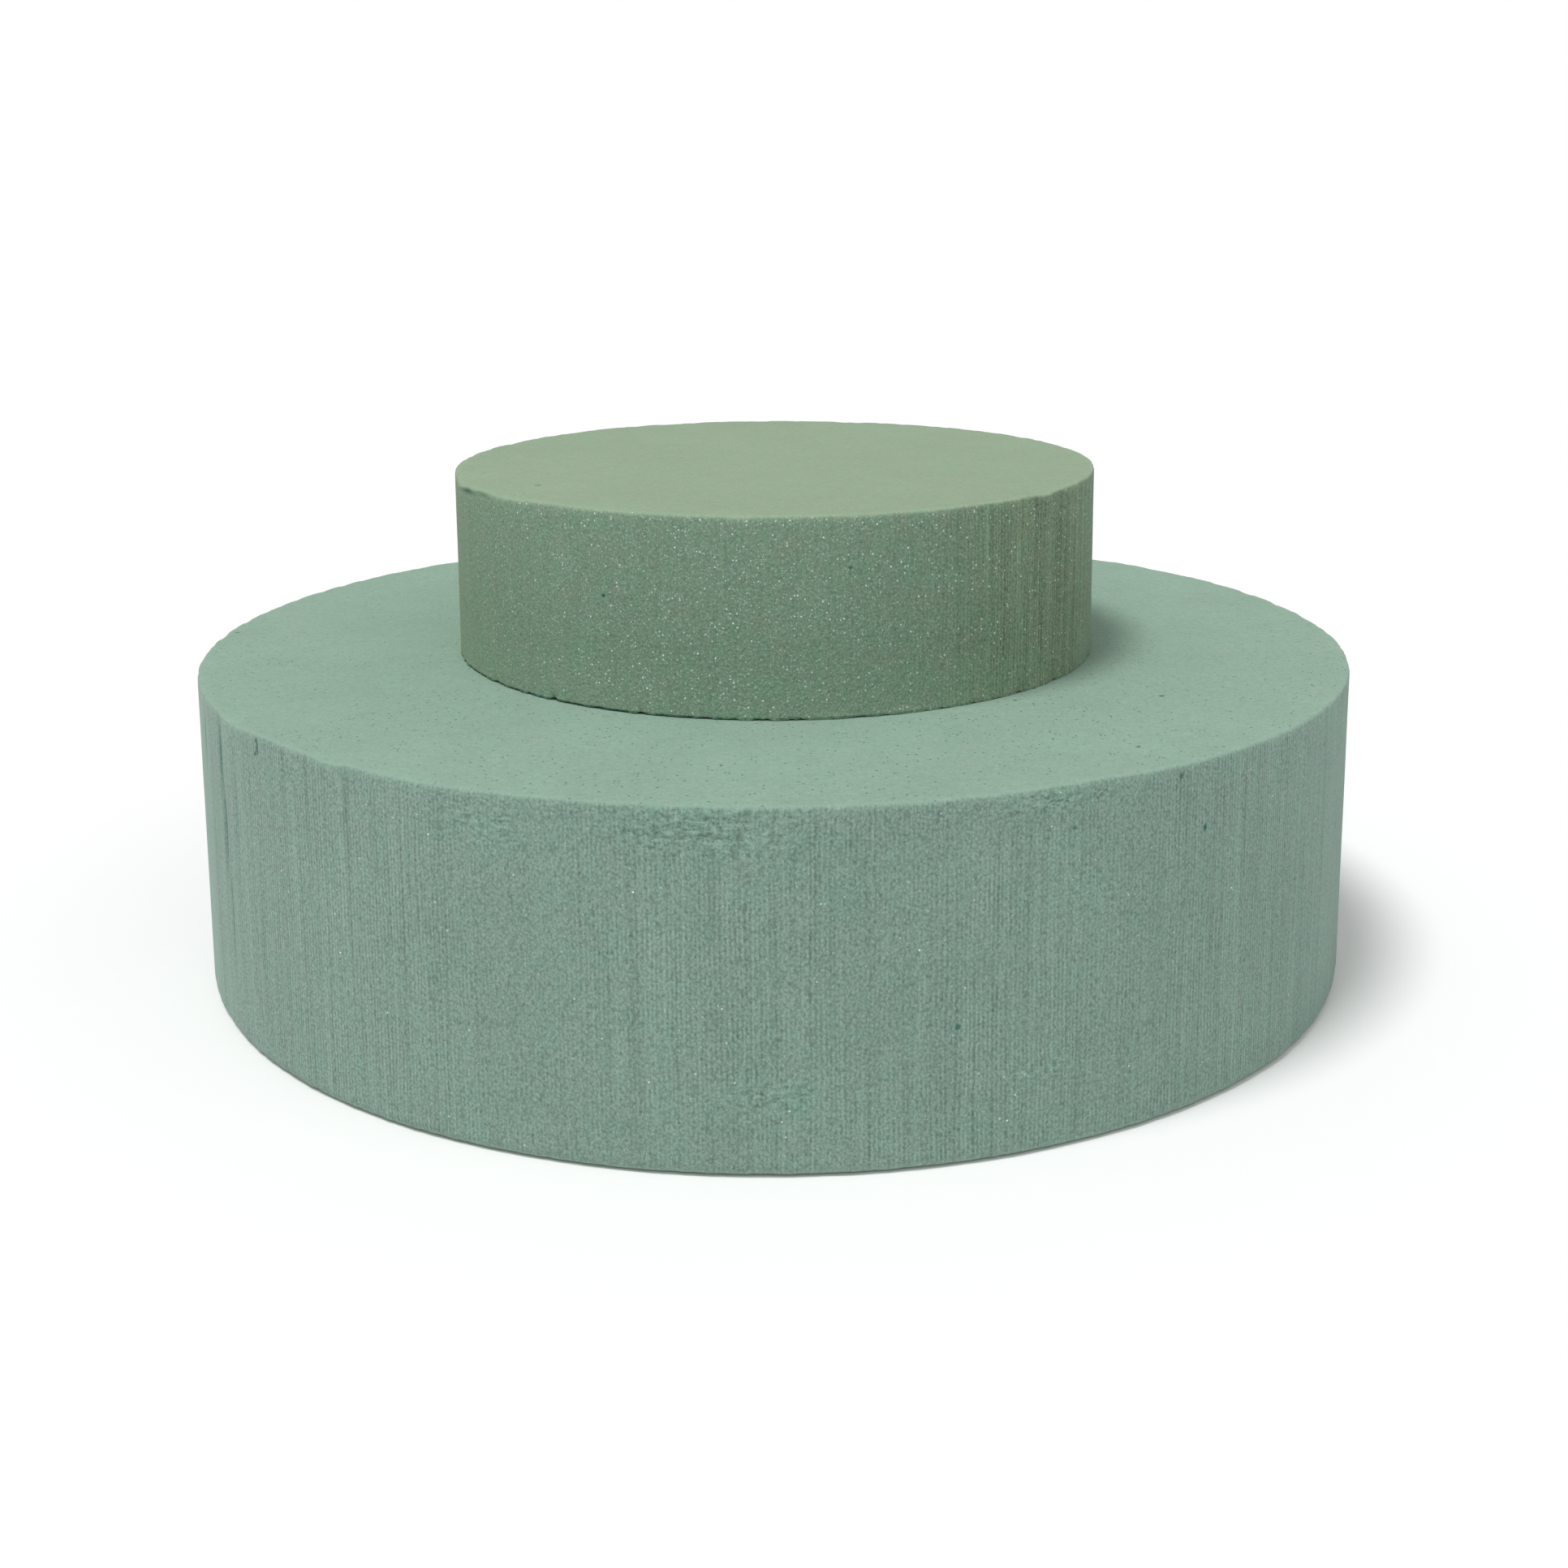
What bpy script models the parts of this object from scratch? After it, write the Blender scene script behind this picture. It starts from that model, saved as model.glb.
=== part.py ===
"""Two round slabs of floral foam: a wide, thick disc and a smaller one that stands loose on it.

Units are metres and +Z is up. The origin is the centre of the wide disc's foot, so the whole
stack stands on z = 0, and both discs share the Z axis. Each disc is a turned block whose wall
leans out a little towards its foot, with its top rim and its foot edge slightly rounded.
"""

import math

import bmesh
import bpy

# The wide disc that everything stands on
LOWER_TOP_RADIUS = 0.1463
LOWER_HEIGHT = 0.0800
LOWER_DRAFT = math.radians(1.5)
LOWER_RIM_ROUND = 0.0012
LOWER_FOOT_ROUND = 0.0030

# The smaller disc on top
UPPER_TOP_RADIUS = 0.0809
UPPER_HEIGHT = 0.0461
UPPER_DRAFT = math.radians(0.8)
UPPER_RIM_ROUND = 0.0009
UPPER_FOOT_ROUND = 0.0006

# The air left between the two foams where the smaller disc rests
STACK_GAP = 0.0003

# How finely the round walls and edges are divided
WALL_SIDES = 128
ROUND_STEPS = 3
SHARP_ANGLE = math.radians(40.0)

# Foam colours as linear RGB, and their finish
LOWER_COLOUR = (0.240, 0.390, 0.310, 1.0)
UPPER_COLOUR = (0.265, 0.400, 0.275, 1.0)
FOAM_ROUGHNESS = 0.92


def clear_scene():
    """Remove every object that is already in the scene."""
    for old in list(bpy.data.objects):
        bpy.data.objects.remove(old, do_unlink=True)


def foam_material(name, colour):
    """A dull, non-metallic foam of one colour."""
    material = bpy.data.materials.new(name)
    material.use_nodes = True
    material.diffuse_color = colour
    shader = material.node_tree.nodes["Principled BSDF"]
    shader.inputs["Base Color"].default_value = colour
    shader.inputs["Roughness"].default_value = FOAM_ROUGHNESS
    shader.inputs["Metallic"].default_value = 0.0
    return material


def edges_at(mesh, height):
    """The edges of the closed rim that lies at one height."""
    on_rim = []
    for edge in mesh.edges:
        if all(math.isclose(v.co.z, height, abs_tol=1e-6) for v in edge.verts):
            on_rim.append(edge)
    return on_rim


def foam_disc(name, top_radius, height, draft, rim_round, foot_round, material):
    """A tapered disc standing on its own origin, with its two rims rounded."""
    mesh = bmesh.new()
    bmesh.ops.create_cone(
        mesh,
        cap_ends=True,
        segments=WALL_SIDES,
        radius1=top_radius + height * math.tan(draft),
        radius2=top_radius,
        depth=height,
    )
    bmesh.ops.translate(mesh, verts=mesh.verts, vec=(0.0, 0.0, height / 2))
    for rim_height, radius in ((height, rim_round), (0.0, foot_round)):
        bmesh.ops.bevel(
            mesh,
            geom=edges_at(mesh, rim_height),
            affect="EDGES",
            offset=radius,
            segments=ROUND_STEPS,
            profile=0.5,
        )
    data = bpy.data.meshes.new(name)
    mesh.to_mesh(data)
    mesh.free()
    data.shade_smooth()
    data.set_sharp_from_angle(angle=SHARP_ANGLE)
    data.materials.append(material)
    disc = bpy.data.objects.new(name, data)
    bpy.context.scene.collection.objects.link(disc)
    return disc


def build_lower_disc():
    """The wide disc, standing on z = 0."""
    return foam_disc(
        "lower_disc",
        LOWER_TOP_RADIUS,
        LOWER_HEIGHT,
        LOWER_DRAFT,
        LOWER_RIM_ROUND,
        LOWER_FOOT_ROUND,
        foam_material("lower_foam", LOWER_COLOUR),
    )


def build_upper_disc():
    """The smaller disc, with its origin on the axis that it lifts along."""
    disc = foam_disc(
        "upper_disc",
        UPPER_TOP_RADIUS,
        UPPER_HEIGHT,
        UPPER_DRAFT,
        UPPER_RIM_ROUND,
        UPPER_FOOT_ROUND,
        foam_material("upper_foam", UPPER_COLOUR),
    )
    disc.location = (0.0, 0.0, LOWER_HEIGHT + STACK_GAP)
    return disc


def main():
    clear_scene()
    build_lower_disc()
    build_upper_disc()


main()
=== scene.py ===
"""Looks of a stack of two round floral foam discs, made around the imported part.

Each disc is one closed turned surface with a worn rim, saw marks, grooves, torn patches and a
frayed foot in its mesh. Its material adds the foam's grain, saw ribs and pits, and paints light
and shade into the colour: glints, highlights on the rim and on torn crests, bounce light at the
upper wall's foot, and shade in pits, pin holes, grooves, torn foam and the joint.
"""

import math

import bpy
import numpy as np
from bpy.props import FloatProperty, FloatVectorProperty, IntProperty, PointerProperty
from mathutils import Matrix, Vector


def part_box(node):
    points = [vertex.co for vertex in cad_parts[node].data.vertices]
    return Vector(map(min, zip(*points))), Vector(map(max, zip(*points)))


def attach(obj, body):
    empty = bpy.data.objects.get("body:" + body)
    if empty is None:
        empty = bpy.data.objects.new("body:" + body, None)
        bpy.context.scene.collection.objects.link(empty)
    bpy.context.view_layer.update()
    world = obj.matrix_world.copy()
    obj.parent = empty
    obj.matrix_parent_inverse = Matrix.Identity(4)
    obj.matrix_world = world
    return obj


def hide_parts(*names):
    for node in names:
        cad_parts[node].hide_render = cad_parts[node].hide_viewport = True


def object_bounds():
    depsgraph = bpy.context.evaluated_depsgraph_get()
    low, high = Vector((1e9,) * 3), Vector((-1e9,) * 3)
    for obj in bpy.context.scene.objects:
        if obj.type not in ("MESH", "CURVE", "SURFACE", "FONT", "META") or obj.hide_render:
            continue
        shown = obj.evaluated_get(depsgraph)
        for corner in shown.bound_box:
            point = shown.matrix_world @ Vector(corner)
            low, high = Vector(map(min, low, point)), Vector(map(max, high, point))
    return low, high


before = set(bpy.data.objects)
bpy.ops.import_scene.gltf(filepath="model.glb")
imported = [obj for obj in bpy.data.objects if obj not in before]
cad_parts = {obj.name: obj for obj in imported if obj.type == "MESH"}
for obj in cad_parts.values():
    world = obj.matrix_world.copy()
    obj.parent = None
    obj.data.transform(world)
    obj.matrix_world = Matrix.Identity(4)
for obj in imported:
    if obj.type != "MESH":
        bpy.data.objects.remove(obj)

bl_info = {
    "name": "Floral Foam Stack",
    "version": (1, 0, 0),
    "blender": (4, 5, 0),
    "location": "3D View > Sidebar > Foam",
    "description": "Builds two round floral foam discs, one standing on the other",
    "category": "Add Mesh",
}

MM = 0.001
TURN = 2.0 * math.pi
CAD_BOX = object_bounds()

# Where the discs are marked. Turns are in degrees round the axis from +X, other lengths in
# millimetres, and shares from 0 to 1.
# Grooves: turn, height above the foot, half width, half height, depth, how dark the painted shade
# in each is
LOWER_GROOVES = (
    (208.6, 69.0, 0.80, 8.0, 0.80, 0.95),
    (209.2, 52.0, 0.75, 11.0, 0.60, 0.80),
    (210.0, 32.0, 0.80, 12.0, 0.30, 0.40),
    (212.9, 60.0, 0.80, 16.0, 0.22, 0.25),
    (218.2, 76.8, 0.75, 1.8, 0.30, 0.20),
    (202.3, 70.0, 0.80, 8.0, 0.30, 0.45),
    (57.0, 52.0, 0.80, 9.0, 0.50, 0.45),
    (132.0, 30.0, 0.80, 12.0, 0.30, 0.30),
)
UPPER_GROOVES = (
    (203.0, 44.4, 6.0, 0.7, 0.50, 0.75),
    (211.0, 44.9, 3.0, 0.5, 0.30, 0.50),
    (40.0, 20.0, 0.7, 6.0, 0.30, 0.35),
)
# Small pits in a wall: turn, height above the foot, radius, how dark the painted shade in each is
LOWER_PITS = (
    (218.2, 78.2, 0.55, 1.00),
    (218.3, 77.4, 0.48, 1.00),
    (218.2, 76.6, 0.45, 1.00),
    (218.3, 75.8, 0.52, 0.95),
    (217.9, 75.2, 0.45, 0.85),
    (223.0, 76.9, 0.40, 0.60),
    (284.9, 31.2, 0.55, 0.85),
    (309.0, 64.8, 0.60, 1.00),
    (295.0, 70.9, 0.45, 0.75),
    (330.4, 71.2, 0.45, 0.80),
    (305.9, 77.6, 0.60, 0.80),
    (323.8, 43.4, 0.45, 0.70),
    (244.0, 41.0, 0.35, 0.60),
    (93.0, 24.0, 0.70, 0.90),
    (141.0, 61.0, 0.60, 0.90),
    (12.0, 35.0, 0.50, 0.70),
)
UPPER_PITS = (
    (241.8, 26.5, 0.42, 1.00),
    (282.3, 34.1, 0.36, 0.80),
    (118.0, 31.0, 0.45, 0.90),
    (52.0, 12.0, 0.40, 0.80),
)
# Small pits in a top face: turn, distance from the axis, radius, how dark the painted shade in
# each is
LOWER_TOP_PITS = (
    (176.0, 143.5, 0.60, 0.70),
    (326.0, 110.0, 0.65, 0.90),
    (307.0, 131.0, 0.50, 0.80),
    (311.0, 86.0, 0.50, 0.80),
    (70.0, 112.0, 0.55, 0.80),
)
UPPER_TOP_PITS = (
    (213.0, 67.0, 0.75, 0.60),
)
# Patches of torn foam: turn, height above the foot, half width, half height, how torn
LOWER_TEARS = (
    (264.6, 75.4, 18.5, 6.2, 0.92),
    (252.0, 78.6, 75.0, 1.5, 0.25),
    (293.0, 77.0, 20.0, 2.6, 0.65),
    (246.5, 73.0, 12.0, 4.5, 0.60),
    (269.5, 18.5, 11.0, 3.2, 0.90),
    (292.0, 18.5, 9.0, 1.8, 0.80),
    (297.0, 58.0, 8.0, 7.0, 0.40),
    (224.0, 75.0, 5.0, 3.0, 0.60),
    (30.0, 16.0, 20.0, 5.0, 0.70),
    (102.0, 72.0, 16.0, 4.0, 0.80),
    (150.0, 30.0, 14.0, 9.0, 0.50),
)
UPPER_TEARS = (
    (326.0, 41.0, 6.0, 2.5, 0.45),
    (95.0, 8.0, 12.0, 4.0, 0.60),
)
# Dips in a rim: turn, half width along it, how far it drops (less than nothing: it rises)
LOWER_RIM_DIPS = (
    (212.0, 12.0, 0.90),
    (229.5, 3.5, 0.80),
    (296.0, 16.0, -0.55),
    (241.0, 14.0, 0.25),
    (40.0, 24.0, 0.15),
    (128.0, 12.0, 0.20),
)
UPPER_RIM_DIPS = (
    (197.0, 10.0, 1.50),
    (207.0, 2.6, 0.35),
    (218.0, 9.0, 0.45),
    (322.0, 3.5, 0.55),
    (75.0, 9.0, 0.15),
)
# Chips in a foot edge: turn, half width along it, how high it is broken away
UPPER_FOOT_CHIPS = (
    (230.4, 1.1, 0.70),
    (224.0, 12.0, 0.16),
    (246.0, 22.0, 0.10),
    (215.0, 3.0, 0.20),
    (160.0, 5.0, 0.40),
)

# Rounding of the rim and of the foot edge
LOWER_ROUNDS = (0.8, 2.6)
UPPER_ROUNDS = (0.7, 0.20)

# How each disc is worn, and where its painted glints and the painted shade in its joint show.
# "sawn", "pale", "olive" and the share of painted glints are stretches of the wall: turn, half
# width, amount. "overhang" is how far the foot edge may hang under the foot.
LOWER_WEAR = {
    "grooves": LOWER_GROOVES, "tears": LOWER_TEARS, "rim_dips": LOWER_RIM_DIPS,
    "foot_chips": (), "frayed": 0.3, "overhang": 0.0, "painted_joint_shade": 0.0, "off_axis": (0.0, 0.0),
    "sawn_base": 0.5, "sawn": ((322.0, 80.0, 0.55), (222.0, 44.0, 0.9), (60.0, 60.0, 0.7)),
    "pale": ((199.0, 20.0, 1.0), (336.0, 34.0, 0.45)), "olive": (), "painted_glint_amount": (),
}
UPPER_WEAR = {
    "grooves": UPPER_GROOVES, "tears": UPPER_TEARS, "rim_dips": UPPER_RIM_DIPS,
    "foot_chips": UPPER_FOOT_CHIPS, "frayed": 1.0, "overhang": 0.26, "painted_joint_shade": 0.70,
    "off_axis": (0.6, -0.3), "sawn_base": 0.10, "sawn": ((325.0, 42.0, 0.9), (90.0, 40.0, 0.6)),
    "pale": ((322.0, 30.0, -1.0),), "olive": ((325.0, 30.0, 1.0), (186.0, 34.0, 1.0)),
    "painted_glint_amount": ((262.0, 44.0, 0.2), (190.0, 42.0, -0.95), (20.0, 60.0, -0.5)),
}
# How strongly each pattern shows in a disc's material, painted glints, highlights, bounce light
# and shade among them, and its gloss
LOWER_LOOKS = {
    "grain": 0.66, "beads": 0.52, "bead_size": 1.25, "clumps": 0.05, "ribs": 0.18,
    "streaks": 0.32, "scored": 0.14, "pale": 0.10, "painted_bounce_light": 0.0, "slow": 0.08,
    "patches": 0.05, "cut_grain": 0.27, "flat_clumps": 0.50, "edge_light": 0.15,
    "painted_glints": 0.010, "painted_glitter": 0.03, "pin_holes": 0.13, "hue": 0.42, "hue_grain": 0.9,
    "gloss": 0.5, "sheen": 0.12,
}
UPPER_LOOKS = {
    "grain": 0.54, "beads": 0.30, "bead_size": 1.2, "clumps": 0.10, "ribs": 0.12,
    "streaks": 0.58, "scored": 0.12, "pale": 0.13, "painted_bounce_light": 0.15, "slow": 0.05,
    "patches": 0.04, "cut_grain": 0.17, "flat_clumps": 0.65, "edge_light": 0.20,
    "painted_glints": 0.22, "painted_glitter": 0.42, "pin_holes": 0.03, "hue": 0.62, "hue_grain": 1.0,
    "gloss": 0.4, "sheen": 0.05,
}

# Where the half section of a disc is sampled: millimetres from an edge, and counts
UNDER_SHARES = (0.04, 0.50)
UNDER_FROM_EDGE = (5.0, 2.4, 1.1, 0.35)
WALL_FROM_FOOT = (0.5, 1.1, 2.0)
TOP_FROM_EDGE = (0.8, 1.8, 3.2, 5.5, 9.0, 15.0)
MIDDLE_SHARE = 0.04
RIM_BAND = 14.0
ARC_SAMPLES = 6
LOW_WALL_SAMPLES = 22
RIM_BAND_SAMPLES = 21
TOP_SAMPLES = 5

# How many random numbers a noise lattice has along each side before it repeats
NOISE_SIDE = 61
# Lengths of the waves in the worn surface, along x, y and z
DRIFT_WAVES = (70.0, 70.0, 400.0)
SWELL_WAVES = (22.0, 22.0, 34.0)
SAWN_WAVES = (26.0, 26.0, 60.0)
SAW_WAVES = (5.2, 5.2, 240.0)
TEAR_WAVES = (5.0, 5.0, 5.0)
FLAKE_WAVES = (2.6, 2.6, 1.8)
NIBBLE_WAVES = (4.0, 4.0, 400.0)
BITE_WAVES = (9.0, 9.0, 400.0)
FRAY_WAVES = (1.9, 1.9, 400.0)
DISH_WAVES = (45.0, 45.0, 45.0)
# Heights and depths of the worn surface
SWELL_HEIGHT = 0.12
DISH_DEPTH = 0.06
FRAY_HEIGHT = 0.42
FRAY_HANG = 0.26
FRAY_OPEN = 0.17
# How far along the half section the wear of a rim, of a foot edge and of a dip reaches
RIM_REACH = 1.3
FOOT_REACH = 1.1
DIP_REACH_OVER = 7.0
DIP_REACH_DOWN = 3.0
# How much of the wear at a rim and at a foot edge also goes inward
RIM_INWARD = 0.7
FOOT_INWARD = 0.5
# Noise values where a rim's nibbling and its bites start, and how deep a bite is
NIBBLE_FLOOR = 0.4
BITE_FROM = 0.55
BITE_DEPTH = 5.0
# The least of what varies: saw marks, tears, the painted shade in the joint, and the painted shade
# of groove marks on a flat face
FAINTEST_SAW = 0.35
TEAR_SHARE = 0.70
FAINTEST_JOINT_SHADE = 0.12
FLAT_MARK = 0.3
# Where the joint stands a little open, and where the painted shade in it is darkest: turn, half
# width
OPEN_JOINT = (228.0, 75.0)
DARKEST_JOINT_SHADE = (236.0, 80.0)

# Tints of the foam, and of the painted glints
GREENER = (0.88, 1.03, 1.00)
BROWNER = (1.12, 0.97, 1.01)
OLIVE = (1.02, 1.00, 0.88)
TORN_GREEN = (0.86, 0.99, 0.95)
COOL_PAINTED_GLINT = (0.80, 0.92, 1.00)
WARM_PAINTED_GLINT = (1.00, 0.95, 0.93)
# How much paler than a cut face the painted highlights on torn crests and on the rim are, and the
# darkest tone of all
CREST_LIGHT = 1.15
RIM_LIGHT = 1.25
DARKEST_TONE = 0.25
# Spacing of the large and the small painted glints and of the pin holes, whose dark is painted
# shade
BIG_PAINTED_GLINT = 0.80
SMALL_PAINTED_GLINT = 0.52
PIN_HOLE = 0.9
# A dot's full middle, and a pit's full middle and outer rim, as shares of its size; and how far
# a pit's outline is bent
DOT_CORE = 0.45
PIT_CORE = 0.6
PIT_RIM = 1.5
PIT_BEND = 0.35
# Heights above the foot: the top of the painted bounce light, and the top and the full dark of the
# painted shade in the line at the joint
BOUNCE_LIGHT_RISE = 17.0
FOOT_LINE_TOP = 0.42
FOOT_LINE_FULL = 0.15
BUMP_HEIGHT = 0.22

# The stage: lamps as turn, rise and width in degrees; the floor's half side in metres and its
# distance under the foot; and where the camera looks, aside from the axis and up the wide disc
KEY_LAMP = (218.0, 70.0, 17.0)
FILL_LAMP = (298.0, 35.0, 90.0)
FLOOR_REACH = 12.0
FLOOR_DROP = 0.05
AIM_ASIDE = 2.4
AIM_SHARE_UP = 0.501


class FoamColours(bpy.types.PropertyGroup):
    """Colours of the two foams, as linear RGB."""

    lower_cut: FloatVectorProperty(
        name="Lower cut face", description="Flat faces of the wide disc", subtype="COLOR",
        size=3, min=0.0, max=1.0, default=(0.257, 0.388, 0.300))
    lower_wall: FloatVectorProperty(
        name="Lower wall", description="Sawn wall of the wide disc", subtype="COLOR",
        size=3, min=0.0, max=1.0, default=(0.203, 0.306, 0.249))
    upper_cut: FloatVectorProperty(
        name="Upper cut face", description="Flat faces of the small disc", subtype="COLOR",
        size=3, min=0.0, max=1.0, default=(0.280, 0.379, 0.256))
    upper_wall: FloatVectorProperty(
        name="Upper wall", description="Sawn wall of the small disc", subtype="COLOR",
        size=3, min=0.0, max=1.0, default=(0.196, 0.292, 0.208))
    # the colour of the painted shade at the bottom of a pit or a groove
    pit: FloatVectorProperty(
        name="Pits", description="The bottom of a pit or a groove", subtype="COLOR",
        size=3, min=0.0, max=1.0, default=(0.022, 0.125, 0.088))
    # the colour of the painted glints: specks that stand in for light that cell walls catch
    painted_glint: FloatVectorProperty(
        name="Bright cells", description="Cell walls that face the light", subtype="COLOR",
        size=3, min=0.0, max=1.0, default=(0.960, 0.980, 1.000))


class FoamSizes(bpy.types.PropertyGroup):
    """Sizes of the foam's surface."""

    rib_pitch: FloatProperty(
        name="Rib pitch", description="From one saw rib on the wall to the next",
        default=0.0010, min=0.0002, unit="LENGTH", subtype="DISTANCE")
    cell: FloatProperty(
        name="Foam cell", description="Width of the cells that show as grain",
        default=0.0005, min=0.0001, unit="LENGTH", subtype="DISTANCE")
    rim_wear: FloatProperty(
        name="Rim wear", description="How deep the rims are nibbled away between the dips",
        default=0.00016, min=0.0, unit="LENGTH", subtype="DISTANCE")
    out_of_round: FloatProperty(
        name="Out of round", description="How far the wall wanders from a true circle",
        default=0.00022, min=0.0, unit="LENGTH", subtype="DISTANCE")
    saw_depth: FloatProperty(
        name="Saw depth", description="Depth of the broad upright saw marks",
        default=0.00010, min=0.0, unit="LENGTH", subtype="DISTANCE")
    tear_depth: FloatProperty(
        name="Tear depth", description="Height of the flakes in a torn patch",
        default=0.00080, min=0.0, unit="LENGTH", subtype="DISTANCE")
    around: IntProperty(
        name="Steps around", description="How many points each ring of a disc has",
        default=1400, min=64)


class StageSettings(bpy.types.PropertyGroup):
    """The camera, the light and the floor."""

    camera_distance: FloatProperty(
        name="Camera distance", description="From the point that the camera looks at",
        default=0.57473, min=0.05, unit="LENGTH", subtype="DISTANCE")
    camera_elevation: FloatProperty(
        name="Camera elevation", description="How far the camera looks down",
        default=0.29641, unit="ROTATION", subtype="ANGLE")
    camera_roll: FloatProperty(
        name="Camera roll", description="Lean of the camera",
        default=-0.00518, unit="ROTATION", subtype="ANGLE")
    lens: FloatProperty(
        name="Lens", description="Focal length on a sensor 36 mm wide",
        default=49.30, min=1.0)
    sky: FloatProperty(
        name="Room light", description="Brightness of the white room all round",
        default=0.43, min=0.0)
    key: FloatProperty(
        name="Key light", description="Brightness of the broad lamp at the upper left",
        default=1.86, min=0.0)
    fill: FloatProperty(
        name="Fill light", description="Brightness of the very broad lamp in front",
        default=0.50, min=0.0)
    floor: FloatVectorProperty(
        name="Floor", description="Colour of the floor", subtype="COLOR",
        size=3, min=0.0, max=1.0, default=(0.96, 0.96, 0.96))


class FoamStackSettings(bpy.types.PropertyGroup):
    """Everything that a user would change."""

    colours: PointerProperty(type=FoamColours)
    sizes: PointerProperty(type=FoamSizes)
    stage: PointerProperty(type=StageSettings)


# ---------------------------------------------------------------- shapes worked out with numpy


def smooth_noise(points, waves, seed):
    """A smooth random field between -1 and 1.

    Seeded random numbers stand on the corners of a lattice whose cells measure waves, in
    millimetres (one size, or one along each axis). A point takes the numbers of its cell's eight
    corners, weighted by how near it is along each axis, with the share s turned into
    s*s*(3 - 2*s).
    """
    table = np.random.default_rng(seed).uniform(-1.0, 1.0, (NOISE_SIDE,) * 3)
    place = points / (np.broadcast_to(waves, 3) * MM)
    cell = np.floor(place).astype(int)
    share = place - cell
    share = share * share * (3.0 - 2.0 * share)
    total = np.zeros(points.shape[:-1])
    for corner in np.ndindex(2, 2, 2):
        at = (cell + corner) % NOISE_SIDE
        weight = np.prod(np.where(corner, share, 1.0 - share), axis=-1)
        total += weight * table[at[..., 0], at[..., 1], at[..., 2]]
    return total


def rough_noise(points, waves, seed, layers):
    """Layers of smooth noise, each with half the waves and half the height of the one before."""
    total = np.zeros(points.shape[:-1])
    for layer in range(layers):
        total += smooth_noise(points, np.asarray(waves) / 2**layer, seed + layer) / 2**layer
    return total


def bump_at(turn, height, mark_turn, mark_height, half_width, half_height, radius):
    """A round hill, 1 at its middle: exp of minus the squared distance in half widths and heights.

    The distance round the wall is the turn between the two, brought to within half a turn,
    times the wall's radius.
    """
    away = (turn - math.radians(mark_turn) + math.pi) % TURN - math.pi
    across = away * radius / (half_width * MM)
    up = (height - mark_height * MM) / (half_height * MM)
    return np.exp(-(across**2) - up**2)


def ridge_at(turn, mark_turn, half_width, radius):
    """A hill along the rim only: bump_at without its height."""
    return bump_at(turn, 0.0, mark_turn, 0.0, half_width, 1.0, radius)


def ridges(turn, marks, radius):
    """The sum of the ridges in a list of turn, half width and amount, each times its amount."""
    total = np.zeros(turn.shape)
    for mark_turn, half_width, amount in marks:
        total = total + amount * ridge_at(turn, mark_turn, half_width, radius)
    return total


def strongest(turn, height, marks, radius, column):
    """The largest of a list of hills at each point, each times a number from its row."""
    most = np.zeros(np.broadcast_shapes(turn.shape, height.shape))
    for mark in marks:
        most = np.maximum(most, bump_at(turn, height, *mark[:4], radius) * mark[column])
    return most


def fading(distance, reach):
    """1 where the distance is nothing, down to nothing past reach: exp of minus its square."""
    return np.exp(-((distance / reach) ** 2))


def turned_outline(node):
    """Foot radius, top radius, foot height and top height of a turned CAD disc."""
    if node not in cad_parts:
        raise RuntimeError(f"the packed part has no node called {node}")
    points = np.array([v.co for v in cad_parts[node].data.vertices])
    radius = np.hypot(points[:, 0], points[:, 1])
    low, high = points[:, 2].min(), points[:, 2].max()
    in_upper_half = points[:, 2] > (low + high) / 2.0
    return radius[~in_upper_half].max(), radius[in_upper_half].max(), low, high


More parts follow.
